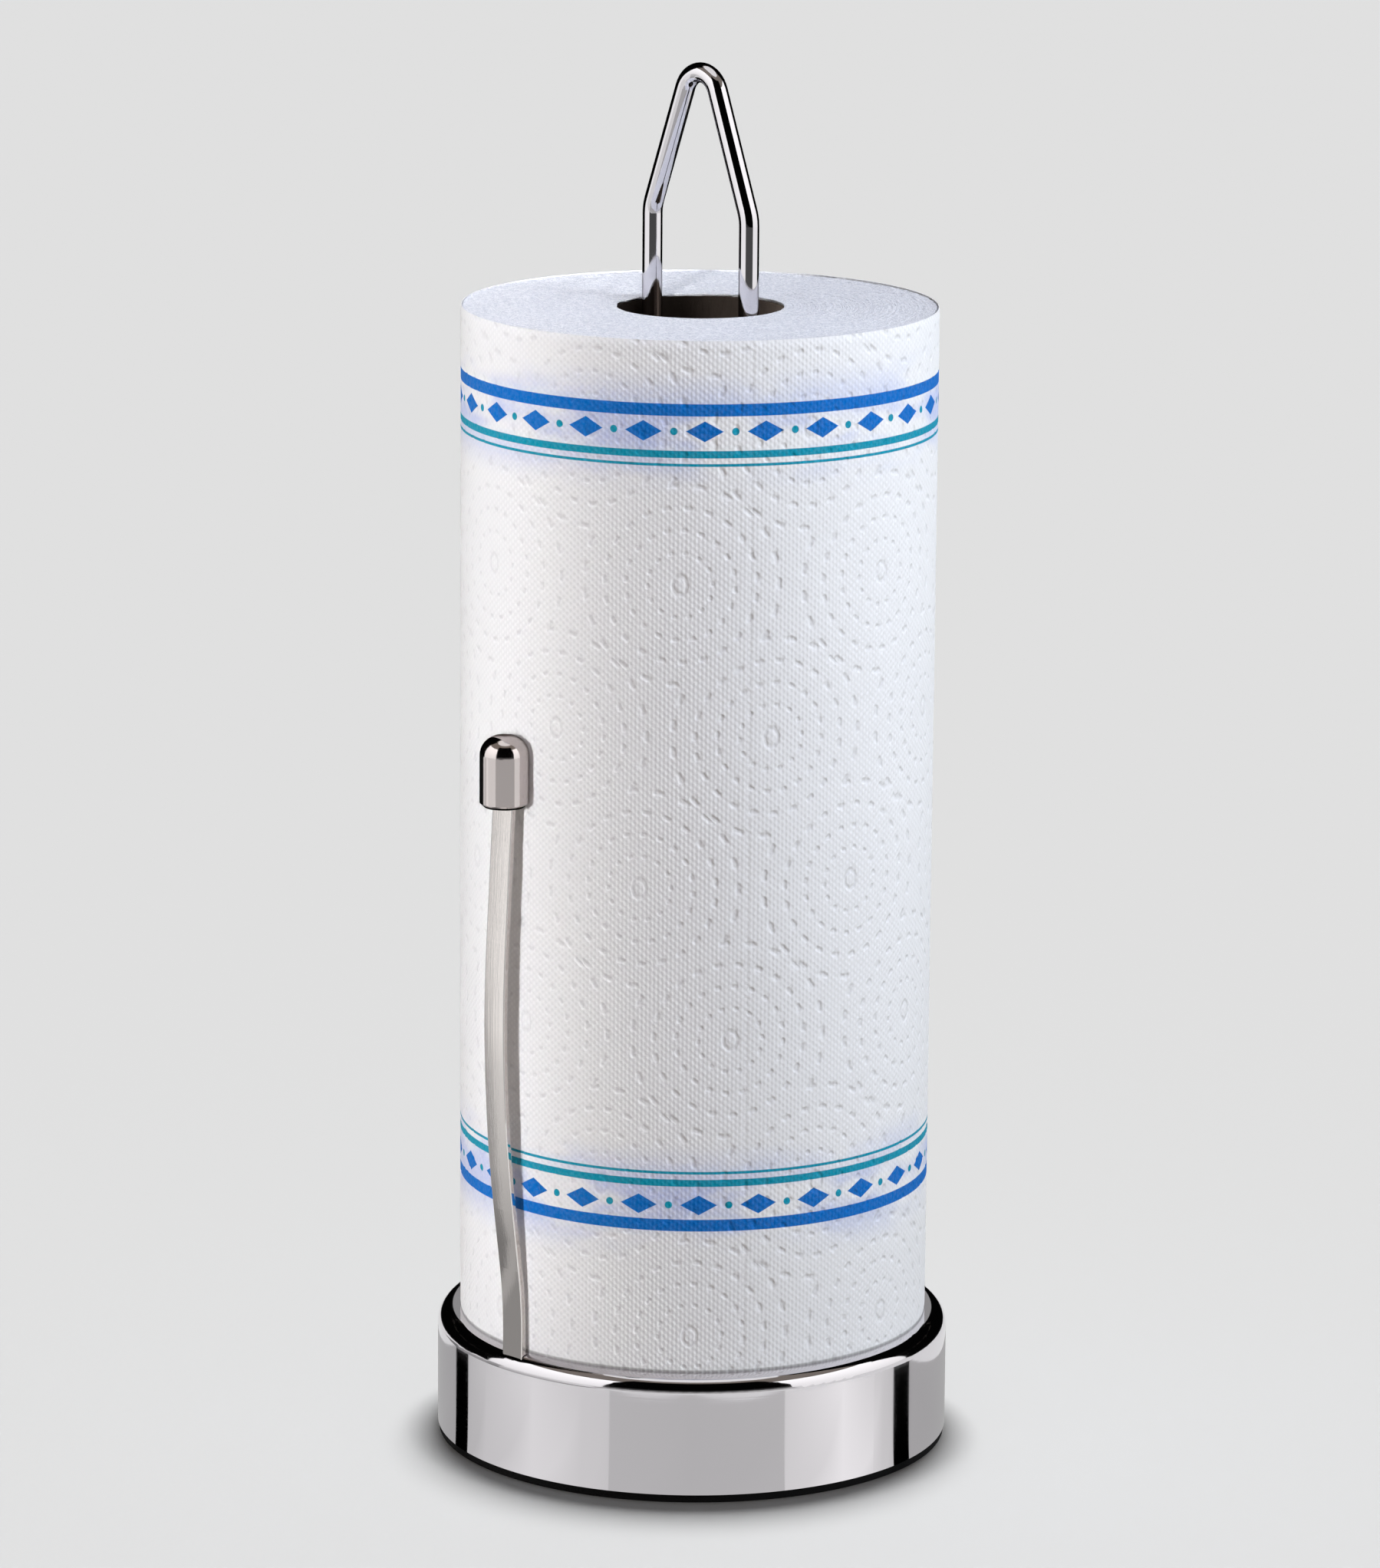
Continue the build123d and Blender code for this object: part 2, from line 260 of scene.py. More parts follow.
def emboss_rings(fields, along, up):
    """Depth, 0 to 1, of the embossed eyes and dash rings at a place on the sheet in millimetres."""
    rows = fields.over(fields.less(up, RING_UP), RING_ROW)
    row_below = fields.math("FLOOR", rows)
    spans = []
    for row in (row_below, fields.total(row_below, 1.0)):
        height = fields.times(fields.less(rows, row), RING_ROW)
        offset = fields.total(fields.less(along, RING_ALONG), fields.times(row, RING_LEAN))
        across = fields.wrapped(offset, RING_PITCH)
        spans.append((across, height, fields.span(across, height)))
    (across_a, height_a, reach_a), (across_b, height_b, reach_b) = spans
    second = fields.math("LESS_THAN", reach_b, reach_a)
    first = fields.less(1.0, second)
    across = fields.weighed((across_a, first), (across_b, second))
    height = fields.weighed((height_a, first), (height_b, second))
    reach = fields.math("MINIMUM", reach_a, reach_b)

    ring = fields.math("ROUND", fields.over(fields.less(reach, RING_OFFSET), RING_STEP))
    ring = fields.math("MAXIMUM", ring, 1.0)
    ring_square = fields.times(ring, ring)
    ring_radius = fields.math("MULTIPLY_ADD", ring, RING_STEP, RING_OFFSET)
    dash_pitch = fields.math("MULTIPLY_ADD", ring_square, DASH_PITCH_GROWTH, DASH_PITCH)
    dash_half = fields.math("MULTIPLY_ADD", ring_square, DASH_HALF_GROWTH, DASH_HALF)
    dash_radius = fields.math("MULTIPLY_ADD", ring, DASH_RADIUS_GROWTH, DASH_RADIUS)
    dashes = fields.math("ROUND", fields.over(fields.times(ring_radius, 2 * pi), dash_pitch))
    turn = fields.over(fields.math("ARCTAN2", height, across), 2 * pi)
    step = fields.total(fields.times(turn, dashes), fields.times(ring, RING_TWIST))
    off_dash = fields.less(fields.math("FRACT", step), 0.5)
    dash_way = fields.over(fields.times(off_dash, ring_radius, 2 * pi), dashes)
    past_end = fields.math("MAXIMUM", fields.less(fields.size(dash_way), dash_half), 0.0)
    dash_gap = fields.span(past_end, fields.less(reach, ring_radius))
    dash = fields.ramp(dash_gap, DASH_FLOOR, fields.total(dash_radius, DASH_EDGE), 1.0, 0.0)
    dash = fields.times(dash, fields.math("LESS_THAN", reach, RING_LAST))
    eye_reach = fields.span(fields.times(across, EYE_SQUEEZE), height)
    eye = fields.ramp(fields.gap(eye_reach, EYE_RADIUS), DASH_FLOOR, EYE_EDGE, EYE_DEPTH, 0.0)
    return fields.math("MAXIMUM", dash, eye)


def woven_tooth(fields, along, up):
    """Height, -0.5 to 1, of the fine staggered dots all over the paper."""
    waves = [
        fields.math("COSINE", fields.weighed((along, 2 * pi * a), (up, 2 * pi * b)))
        for a, b in TOOTH_WAVES
    ]
    return fields.times(fields.total(*waves), 1 / len(waves))


def perforation(fields, along, up):
    """Depth, 0 to 1, of the slits where the first sheet tears off, with a tie between each two."""
    line = (TAIL * ROLL_RADIUS - SHEET_LENGTH) / MM
    tie = fields.ramp(fields.size(fields.wrapped(up, TIE_PITCH)), *TIE_FADE, TIE_DEPTH, 1.0)
    return fields.times(fields.ramp(fields.gap(along, line), *SLIT_FADE, 1.0, 0.0), tie)


def new_material(name):
    material = bpy.data.materials.new(name)
    material.use_nodes = True
    return material, Fields(material.node_tree), material.node_tree.nodes[SHADER]


def object_place(fields, scale=(1.0, 1.0, 1.0)):
    """Object coordinates, stretched for grain that runs one way."""
    mapping = fields.add("ShaderNodeMapping")
    place = fields.add("ShaderNodeTexCoord").outputs["Object"]
    fields.fill(mapping, {"Vector": place, "Scale": scale})
    return mapping.outputs[0]


def colour_between(fields, share, low, high):
    node = fields.add("ShaderNodeMix", data_type="RGBA")
    fields.link(share, node.inputs[MIX_SHARE])
    for shade, socket in ((low, MIX_LOW), (high, MIX_HIGH)):
        made = isinstance(shade, bpy.types.NodeSocket)
        fields.link(shade if made else (*shade, 1.0), node.inputs[socket])
    return node.outputs[MIX_RESULT]


def relief(fields, shader, height, distance, strength=1.0):
    bump = fields.add("ShaderNodeBump")
    fields.fill(bump, {"Strength": strength, "Distance": distance, "Height": height})
    fields.link(bump.outputs[0], shader.inputs["Normal"])


def polished_steel(name, grain, rough, shade=(0.81, 0.785, 0.81), edge=1.0):
    """Mirror polish with faint smears, polishing lines along the grain's small scale, and an edge tint."""
    material, fields, shader = new_material(name)
    smear = fields.noise(object_place(fields), scale=38.0, detail=4.0, roughness=0.6)
    lines = fields.noise(object_place(fields, grain), scale=1.0, detail=3.0, roughness=0.7)
    share = fields.weighed((smear, 0.6), (lines, 0.4))
    fields.fill(
        shader,
        {
            "Base Color": (*shade, 1.0),
            "Metallic": 1.0,
            "Specular Tint": (edge, edge, edge, 1.0),
            "Roughness": fields.ramp(share, *MOTTLE, *rough),
        },
    )
    relief(fields, shader, lines, distance=0.01 * MM, strength=0.25)
    return material


def cap_steel():
    """Polished steel with a dark line painted along the cap's lower rim as painted shade."""
    shade, dark = (0.80, 0.73, 0.71), (0.02, 0.018, 0.016)
    material = polished_steel("polished cap steel", (20.0, 20.0, 1800.0), (0.07, 0.13), shade, edge=0.0)
    fields, shader = Fields(material.node_tree), material.node_tree.nodes[SHADER]
    up = fields.parts(object_place(fields))[2]
    # Painted shade: a dark band just above the cap's lower rim.
    line = fields.ramp(up, CAP_RIM + 0.45 * MM, CAP_RIM + 0.75 * MM, 1.0, 0.0)
    fields.link(colour_between(fields, line, shade, dark), shader.inputs["Base Color"])
    return material


def grainy_metal(name, grain, tones, metallic, rough, depth):
    """Dull metal whose tone, roughness and height follow one noise."""
    material, fields, shader = new_material(name)
    mottle = fields.noise(object_place(fields), **grain)
    fields.fill(
        shader,
        {
            "Base Color": colour_between(fields, mottle, *tones),
            "Metallic": metallic,
            "Roughness": fields.ramp(mottle, *MOTTLE, *rough),
        },
    )
    relief(fields, shader, mottle, depth)
    return material


def plated_steel():
    return grainy_metal(
        "zinc plated steel",
        grain={"scale": 300.0, "detail": 5.0, "roughness": 0.6},
        tones=((0.46, 0.46, 0.45), (0.62, 0.61, 0.58)),
        metallic=1.0,
        rough=(0.3, 0.48),
        depth=0.04 * MM,
    )


def cast_iron():
    return grainy_metal(
        "cast iron",
        grain={"scale": 700.0, "detail": 6.0, "roughness": 0.7},
        tones=((0.035, 0.034, 0.033), (0.09, 0.085, 0.08)),
        metallic=0.4,
        rough=(0.6, 0.85),
        depth=0.25 * MM,
    )


def pad_rubber():
    material, fields, shader = new_material("black pad rubber")
    place = object_place(fields)
    pores = fields.noise(place, scale=1800.0, detail=3.0, roughness=0.6)
    dust = fields.noise(place, scale=60.0, detail=4.0, roughness=0.6)
    fields.fill(
        shader,
        {
            "Base Color": colour_between(fields, dust, (0.003, 0.003, 0.003), (0.008, 0.008, 0.008)),
            "Roughness": fields.ramp(dust, *MOTTLE, 0.55, 0.75),
            "Specular IOR Level": 0.02,
        },
    )
    relief(fields, shader, pores, distance=0.12 * MM)
    return material


def towel_paper():
    """Soft two-ply paper with the embossed rings, a fine woven tooth and a plain striped border, with
    painted shade in its hollows and a painted contact shadow at its foot.
    """
    material, fields, shader = new_material("embossed towel paper")
    along, up, _ = fields.parts(fields.add("ShaderNodeUVMap", uv_map="sheet").outputs[0])
    rings = emboss_rings(fields, along, up)
    tooth = woven_tooth(fields, along, up)
    fibre = fields.noise(object_place(fields), scale=900.0, detail=5.0, roughness=0.7)
    cloud = fields.noise(object_place(fields), scale=30.0, detail=3.0, roughness=0.5)
    pressed = fields.math("MAXIMUM", rings, fields.times(perforation(fields, along, up), 0.3))

    paper = colour_between(fields, cloud, (0.86, 0.865, 0.87), (0.90, 0.90, 0.90))
    painted_tooth_shade, painted_recess_shade, painted_contact_shade = (0.66, 0.665, 0.68), (0.62, 0.625, 0.635), (0.16, 0.155, 0.15)
    # Painted shade: the woven tooth's low dots are darkened as shade in their hollows.
    paper = colour_between(fields, fields.ramp(tooth, -0.5, 0.7, 0.2, 0.0), paper, painted_tooth_shade)
    # Painted shade: the pressed dashes, eyes and tear slits are darkened as shade in their hollows.
    paper = colour_between(fields, fields.times(pressed, 0.27), paper, painted_recess_shade)
    # Painted contact shadow: the lowest millimetre of the paper is darkened where it sits on the base.
    paper = colour_between(fields, fields.ramp(up, 0.15, 0.8, 0.6, 0.0), paper, painted_contact_shade)
    fields.fill(
        shader,
        {
            "Base Color": border_print(fields, along, up, fibre, paper),
            "Roughness": 0.92,
            "Specular IOR Level": 0.05,
            "Sheen Weight": 0.02,
            "Sheen Roughness": 0.6,
        },
    )
    height = fields.weighed((pressed, -0.45), (tooth, 0.16), (fibre, 0.3))
    relief(fields, shader, height, distance=0.4 * MM)
    return material


def border_print(fields, along, up, fibre, paper):
    """Two borders of straight stripes with a row of lozenges and dots, and a soft tint."""
    grainy = fields.ramp(fibre, 0.35, 0.65, 0.96, 1.0)
    speckle = fields.ramp(fibre, 0.3, 0.65, 1.0, 0.7)
    cloud_place = fields.vector(fields.times(along, 0.022), fields.times(up, 0.05))
    drift = fields.noise(cloud_place, scale=1.0, detail=3.0, roughness=0.55)
    patches = fields.ramp(drift, 0.40, 0.58)
    tone = paper

    def printed(gap, half, low_blur, high_blur, ink):
        mark = fields.times(fields.ramp(gap, half - low_blur, half + high_blur, 1.0, 0.0), grainy)
        return colour_between(fields, mark, tone, ink)

    for middle, way in BORDERS:
        off = fields.times(fields.less(up, middle), way)
        haze = fields.ramp(fields.size(off), *HAZE_FADE, HAZE_SHARE, 0.0)
        tone = colour_between(fields, fields.times(haze, patches, speckle), tone, TINT)
        for place, half, ink in STRIPES:
            tone = printed(fields.gap(off, place), half, STRIPE_BLUR, STRIPE_BLUR, ink)
        across = fields.size(fields.wrapped(along, MARK_PITCH))
        lozenge = fields.total(fields.times(across, LOZENGE_SLOPE), fields.size(off))
        tone = printed(lozenge, LOZENGE_HALF, 0.0, MARK_BLUR, BLUE)
        across = fields.wrapped(fields.less(along, MARK_PITCH / 2), MARK_PITCH)
        tone = printed(fields.span(across, off), DOT_RADIUS, 0.0, MARK_BLUR, TEAL)
    return tone


def layered_end():
    """Cut end of the wound paper: fine rings of sheet edges, with loose fibres over them."""
    material, fields, shader = new_material("cut paper layers")
    place = object_place(fields)
    across, deep, _ = fields.parts(place)
    outward = fields.vector(fields.times(fields.span(across, deep), 3200.0), 0.0)
    rings = fields.noise(outward, scale=1.0, detail=2.0, roughness=0.7)
    fibre = fields.noise(place, scale=750.0, detail=5.0, roughness=0.75)
    speck = fields.noise(place, scale=2200.0, detail=2.0, roughness=0.6)
    share = fields.weighed((rings, 0.25), (fibre, 0.75))
    patchy = fields.ramp(fields.weighed((share, 0.65), (speck, 0.35)), 0.4, 0.6)
    fields.fill(
        shader,
        {
            "Base Color": colour_between(fields, patchy, (0.69, 0.705, 0.73), (0.95, 0.95, 0.95)),
            "Roughness": 0.95,
            "Specular IOR Level": 0.1,
        },
    )
    relief(fields, shader, share, distance=0.9 * MM)
    return material


def core_board():
    """Grey-brown cardboard with long fibres and pale flecks."""
    material, fields, shader = new_material("spiral wound board")
    fibre_place = object_place(fields, (260.0, 260.0, 90.0))
    fibre = fields.noise(fibre_place, scale=1.0, detail=6.0, roughness=0.7)
    fleck = fields.noise(object_place(fields), scale=900.0, detail=3.0, roughness=0.6)
    tone = colour_between(fields, fibre, (0.03, 0.023, 0.019), (0.07, 0.055, 0.046))
    tone = colour_between(fields, fields.ramp(fleck, 0.62, 0.75, 0.0, 0.4), tone, (0.11, 0.09, 0.075))
    fields.fill(shader, {"Base Color": tone, "Roughness": 0.9, "Specular IOR Level": 0.2})
    relief(fields, shader, fibre, distance=0.3 * MM)
    return material


def sheet_tree(paper):
    """Geometry tree of one sheet: a grid round the roll, pressed in at its rings and closed at the back."""
    tree = bpy.data.node_groups.new("embossed sheet", "GeometryNodeTree")
    lengths = "Radius", "Start Turn", "Length", "Height", "Seat", "Thickness", "Tail Drop", "Ring Depth"
    for kind, names in (("NodeSocketFloat", lengths), ("NodeSocketInt", ("Columns", "Rows"))):
        for name in names:
            tree.interface.new_socket(name, in_out="INPUT", socket_type=kind)
    tree.interface.new_socket("Geometry", in_out="OUTPUT", socket_type="NodeSocketGeometry")
    fields = Fields(tree)
    given = fields.add("NodeGroupInput").outputs
    column_step = fields.over(given["Length"], fields.less(given["Columns"], 1.0))
    row_step = fields.over(given["Height"], fields.less(given["Rows"], 1.0))

    def wrapped_grid(columns, rows, length, height, inside):
        """A grid on the roll, whose places past the sheet's edge turn in by the sheet's thickness."""
        grid = fields.add("GeometryNodeMeshGrid")
        fields.fill(grid, {"Size X": length, "Size Y": height, "Vertices X": columns, "Vertices Y": rows})
        across, up, _ = fields.parts(fields.add("GeometryNodeInputPosition").outputs[0])
        raw_along = fields.total(across, fields.times(given["Length"], 0.5))
        raw_up = fields.total(up, fields.times(given["Height"], 0.5))
        along = fields.clamp(raw_along, given["Length"])
        rise = fields.clamp(raw_up, given["Height"])
        turn = fields.total(given["Start Turn"], fields.over(along, given["Radius"]))
        sheet_along = fields.times(turn, given["Radius"], 1 / MM)
        sheet_up = fields.times(rise, 1 / MM)
        drop = fields.times(fields.less(TAIL, turn), 1 / (2 * pi), given["Tail Drop"])
        face = fields.less(given["Radius"], drop)
        back = fields.less(face, given["Thickness"])
        if inside:
            reach = back
        else:
            rings = emboss_rings(fields, sheet_along, sheet_up)
            wave = fields.noise(fields.vector(sheet_along, sheet_up), scale=0.045)
            edge_gap = fields.math("MINIMUM", rise, fields.less(given["Height"], rise))
            rolled = fields.ramp(edge_gap, 0.0, ROLLED_EDGE, 1.0, 0.0)
            slit = perforation(fields, sheet_along, sheet_up)
            press = fields.weighed((rings, 1.0), (wave, 0.5), (rolled, 0.8), (slit, 0.25))
            depth = fields.times(press, given["Ring Depth"])
            deepest = fields.times(given["Thickness"], DEEPEST_SHARE)
            front = fields.less(face, fields.math("MINIMUM", depth, deepest))
            past = fields.total(fields.gap(raw_along, along), fields.gap(raw_up, rise))
            outside = fields.math("GREATER_THAN", past, fields.times(row_step, 0.3))
            reach = fields.weighed((front, fields.less(1.0, outside)), (back, outside))
        spot = fields.vector(
            fields.times(reach, fields.math("COSINE", turn)),
            fields.times(reach, fields.math("SINE", turn)),
            fields.total(rise, given["Seat"]),
        )
        named = fields.add("GeometryNodeStoreNamedAttribute", data_type="FLOAT2", domain="CORNER")
        place = fields.vector(sheet_along, sheet_up)
        fields.fill(named, {"Geometry": grid.outputs["Mesh"], "Name": "sheet", "Value": place})
        move = fields.add("GeometryNodeSetPosition")
        fields.fill(move, {"Geometry": named.outputs[0], "Position": spot})
        return move.outputs[0]

    front = wrapped_grid(
        fields.math("ADD", given["Columns"], 2.0),
        fields.math("ADD", given["Rows"], 2.0),
        fields.total(given["Length"], fields.times(column_step, 2.0)),
        fields.total(given["Height"], fields.times(row_step, 2.0)),
        inside=False,
    )
    back = wrapped_grid(given["Columns"], 2, given["Length"], given["Height"], inside=True)
    flip = fields.add("GeometryNodeFlipFaces")
    fields.link(back, flip.inputs["Mesh"])
    join = fields.add("GeometryNodeJoinGeometry")
    fields.link(flip.outputs[0], join.inputs[0])
    fields.link(front, join.inputs[0])
    real = fields.add("GeometryNodeRealizeInstances")
    fields.link(join.outputs[0], real.inputs[0])
    finish = fields.add("GeometryNodeSetMaterial")
    fields.fill(finish, {"Geometry": real.outputs[0], "Material": paper})
    fields.link(finish.outputs[0], fields.add("NodeGroupOutput").inputs[0])
    return tree


def made_by_tree(name, tree, **inputs):
    """A plain mesh object with what the tree makes from these inputs."""
    made = bpy.data.objects.new(name, bpy.data.meshes.new(name))
    bpy.context.scene.collection.objects.link(made)
    modifier = made.modifiers.new(name, "NODES")
    modifier.node_group = tree
    for item in tree.interface.items_tree:
        if item.in_out == "INPUT":
            modifier[item.identifier] = inputs[item.name.replace(" ", "_").lower()]
    shown = made.evaluated_get(bpy.context.evaluated_depsgraph_get())
    mesh = bpy.data.meshes.new_from_object(shown)
    made.modifiers.clear()
    made.data = mesh
    mesh.name = name
    return made


def close_back(sheet, rows):
    """Joins the sheet's smooth back to the vertices of its two upright edges."""
    mesh = bmesh.new()
    mesh.from_mesh(sheet.data)
    uprights = [e for e in mesh.edges if e.is_boundary and e.calc_length() > ROLL_HEIGHT / 2]
    bmesh.ops.subdivide_edges(mesh, edges=uprights, cuts=rows - 2)
    bmesh.ops.remove_doubles(mesh, verts=mesh.verts, dist=WELD_GAP)
    flat = [f for f in mesh.faces if f.calc_area() < FLAT_AREA]
    bmesh.ops.delete(mesh, geom=flat, context="FACES_ONLY")
    mesh.to_mesh(sheet.data)
    mesh.free()


def smooth(piece, angle):
    piece.data.polygons.foreach_set("use_smooth", [True] * len(piece.data.polygons))
    piece.data.set_sharp_from_angle(angle=radians(angle))


def paper_sheets(paper):
    """The outermost turn: whole sheets from the tail edge on, and what is left of the turn."""
    tree = sheet_tree(paper)
    rows = round(ROLL_HEIGHT / GRID_STEP) + 1
    sheet_turn = SHEET_LENGTH / ROLL_RADIUS
    ends = [TAIL, TAIL - sheet_turn, TAIL - 2 * sheet_turn, TAIL - 2 * pi]
    made = []
    for count, (start, end) in enumerate(zip(ends, ends[1:])):
        length = (start - end) * ROLL_RADIUS
        sheet = made_by_tree(
            f"towel_sheet_{count + 1}",
            tree,
            radius=ROLL_RADIUS,
            start_turn=end,
            length=length,
            height=ROLL_HEIGHT,
            seat=SEAT,
            thickness=SHEET_THICKNESS,
            tail_drop=TAIL_STEP,
            ring_depth=RING_DEPTH,
            columns=round(length / GRID_STEP) + 1,
            rows=rows,
        )
        close_back(sheet, rows)
        smooth(sheet, angle=50)
        made.append(sheet)
    return made


def ring_mesh(name, rings, material):
    """Closed mesh from rings of equal count, the last joined back to the first."""
    mesh = bmesh.new()
    made = [[mesh.verts.new(p) for p in ring] for ring in rings]
    for ring, after in zip(made, made[1:] + made[:1]):
        for i in range(len(ring)):
            j = (i + 1) % len(ring)
            mesh.faces.new((ring[i], ring[j], after[j], after[i]))
    bmesh.ops.recalc_face_normals(mesh, faces=mesh.faces)
    piece = bpy.data.objects.new(name, bpy.data.meshes.new(name))
    mesh.to_mesh(piece.data)
    mesh.free()
    piece.data.materials.append(material)
    bpy.context.scene.collection.objects.link(piece)
    smooth(piece, angle=40)
    return piece


def circle(turns, reach, height):
    return np.stack((reach * np.cos(turns), reach * np.sin(turns), height + 0 * turns), axis=1)


def ragged(chance, count, width, size):
    """Random offsets round an edge, averaged over a width of neighbours, with a size in millimetres."""
    draws = chance.uniform(-1.0, 1.0, count + width - 1)
    return np.convolve(draws, np.ones(width) / width, "valid") * size * MM


def wound_body(material):
    """The roll under its outer sheets: grainy cut ends, and a ragged lip over the end of the core."""
    inner = CORE_OUTER + CORE_CLEARANCE
    outer = ROLL_RADIUS - TAIL_STEP - SHEET_THICKNESS - SHEET_CLEARANCE
    layers, sectors, low_step = 150, 256, 6
    chance = np.random.default_rng(11)
    uneven = chance.uniform(0.0, 0.1, layers) * MM
    swell = END_SWELL * np.abs(np.sin(np.linspace(0.4, 3 * pi, layers)))
    grain = chance.uniform(-0.1, 0.1, (layers, sectors)) * MM
    turns = np.linspace(0, 2 * pi, sectors, endpoint=False)
    sway = END_SWAY * np.sin(2 * turns + 0.7)
    frayed = ragged(chance, sectors, width=7, size=0.7)

    end = SEAT + ROLL_HEIGHT
    reaches = np.linspace(inner, outer, layers)
    lip_reach = CORE_INNER + LIP_OVERHANG + frayed
    lip = [
        circle(turns, inner, end - LIP_DROP - LIP_HOLLOW),
        circle(turns, lip_reach, end - LIP_DROP),
        circle(turns, lip_reach, end - LIP_EDGE + 0.2 * frayed),
    ]
    top = [
        circle(turns, r, end - END_DROP - u - s + sway + g)
        for r, u, s, g in zip(reaches, uneven, swell, grain)
    ]
    low = [circle(turns, r, SEAT + u) for r, u in zip(reaches[::-low_step], uneven[::-low_step])]
    return ring_mesh("wound_paper", lip + top + low, material)


def spiral_core(material):
    """Cardboard tube with the groove of its spiral winding and a slightly rough cut end."""
    height = core_high.z - core_low.z
    sectors, rows = 160, 60
    rough = ragged(np.random.default_rng(5), sectors, width=5, size=CORE_RAGGED)
    turns = np.linspace(0, 2 * pi, sectors, endpoint=False)

    def wall(reach, lap, groove):
        rings = []
        for share in np.linspace(0.0, 1.0, rows):
            spiral = (turns / (2 * pi) - share * height / WINDING_PITCH) % 1.0
            gap = np.minimum(spiral, 1 - spiral) * 2 * pi * reach
            dent = groove * np.clip(1 - gap / GROOVE_HALF, 0, 1)
            step = lap * LAP_STEP * np.clip(1 - spiral / LAP_SHARE, 0, 1)
            cut = np.clip(share - RAGGED_FROM, 0, 1) / (1 - RAGGED_FROM)
            top = share * height + cut * (rough - CORE_RAGGED * MM)
            rings.append(circle(turns, reach + dent + step, core_low.z + top))
        return rings

    inner = wall(CORE_INNER, -0.5, GROOVE_INSIDE)
    outer = wall(CORE_OUTER - OUTER_CLEARANCE, 0.0, GROOVE_OUTSIDE)
    return ring_mesh("spiral_core", inner + outer[::-1], material)


def floor_paint(shade):
    material, fields, shader = new_material("pale floor")
    fields.fill(shader, {"Base Color": (*shade, 1.0), "Roughness": 1.0, "Specular IOR Level": 0.0})
    return material


def stage_sheet(name, corners, material):
    mesh = bpy.data.meshes.new(name)
    mesh.from_pydata(corners, [], [(0, 1, 2, 3)])
    sheet = bpy.data.objects.new(name, mesh)
    mesh.materials.append(material)
    bpy.context.scene.collection.objects.link(sheet)
    return sheet


def around(turn, reach, height):
    """A point at a turn from the camera's direction, to the camera's right where positive."""
    way = VIEW_TURN + radians(turn)
    return Vector((sin(way) * reach, -cos(way) * reach, height))


def hide_but_in_metal(card):
    for ray in ("camera", "diffuse", "shadow", "transmission", "volume_scatter"):
        setattr(card, f"visible_{ray}", False)


def glow_card(name, rows):
    """A card that only polished metal sees, from rows of points that each carry a brightness."""
    material, fields, shader = new_material(name)
    colour = fields.add("ShaderNodeAttribute", attribute_name="glow").outputs["Color"]
    fields.fill(
        shader,
        {
            "Base Color": (0.0, 0.0, 0.0, 1.0),
            "Specular IOR Level": 0.0,
            "Emission Strength": 1.0,
            "Emission Color": colour,
        },
    )
    mesh = bpy.data.meshes.new(name)
    count = len(rows[0])
    entries = [entry for row in rows for entry in row]
    faces = [
        (r * count + i, r * count + i + 1, (r + 1) * count + i + 1, (r + 1) * count + i)
        for r in range(len(rows) - 1)
        for i in range(count - 1)
    ]
    mesh.from_pydata([point for point, _ in entries], [], faces)
    glow = mesh.attributes.new("glow", "FLOAT_COLOR", "POINT")
    for item, (_, level) in zip(glow.data, entries):
        item.color = (level, level, level, 1.0)
    mesh.materials.append(material)
    card = bpy.data.objects.new(name, mesh)
    bpy.context.scene.collection.objects.link(card)
    hide_but_in_metal(card)
    return card


def dome_card(name, turns, lifts, levels):
    """Part of a dome round the object, in degrees from the camera's direction and up."""
    row_count, column_count = 7, 13
    rows = []
    for lift, level in zip(np.linspace(*lifts, row_count), np.linspace(*levels, row_count)):
        high, reach = sin(radians(lift)) * DOME_RADIUS, cos(radians(lift)) * DOME_RADIUS
        rows.append([(around(turn, reach, high), level) for turn in np.linspace(*turns, column_count)])
    glow_card(name, rows)


def floor_card(name, turns, reaches, level):
    columns = np.linspace(*turns, 9)
    glow_card(name, [[(around(turn, reach, CARD_LIFT), level) for turn in columns] for reach in reaches])


def strip_card():
    """Floor that the strip mirrors, darker towards its foot and along its left edge."""
    toward, side = around(0, 1, 0), around(90, 1, 0)
    blur, right_edge, right_end = 0.0004, 0.0342, 0.0354
    rows = []
    # How far left, where the left edge ends, and the levels of the edge, the middle and the right
    for away, edge, dim, light, low in (
        (0.140, 0.0313, 0.19, 0.37, 0.26),
        (0.168, 0.0313, 0.19, 0.37, 0.26),
        (0.186, 0.0292, 0.23, 0.43, 0.43),
        (0.230, 0.0290, 0.33, 0.52, 0.52),
        (0.292, 0.0293, 0.34, 0.61, 0.61),
        (0.375, 0.0293, 0.36, 0.66, 0.66),
        (0.495, 0.0290, 0.42, 0.84, 0.84),
        (0.693, 0.0287, 0.56, 0.86, 0.86),
        (0.970, 0.0258, 0.60, 0.87, 0.87),
        (1.108, 0.0214, 0.57, 0.88, 0.88),
        (1.400, 0.0130, 0.57, 0.92, 0.92),
    ):
        line = (
            (-0.1, dim), (edge - blur, dim), (edge + blur, light),
            (right_edge, light), (right_end, low), (0.2, low),
        )
        rows.append([(toward * n - side * away + Vector((0, 0, CARD_LIFT)), level) for n, level in line])
    glow_card("strip floor", rows)


def floor_fan(name, stops):
    """Floor that the drum's wall mirrors, from stops of a wall direction and a brightness."""
    near, far = [], []
    for turn, level in stops:
        foot = around(turn, DRUM_RADIUS, 0.0)
        near.append((foot + Vector((0, 0, CARD_LIFT)), level))
        far.append((foot + around(2 * turn, FAN_LENGTH, CARD_LIFT), level))
    glow_card(name, [near, far])


def aimed(light, place, aim):
    light.location = place
    light.rotation_euler = (place - aim).to_track_quat("Z", "Y").to_euler()
    light.visible_glossy = False
    bpy.context.scene.collection.objects.link(light)
    return light


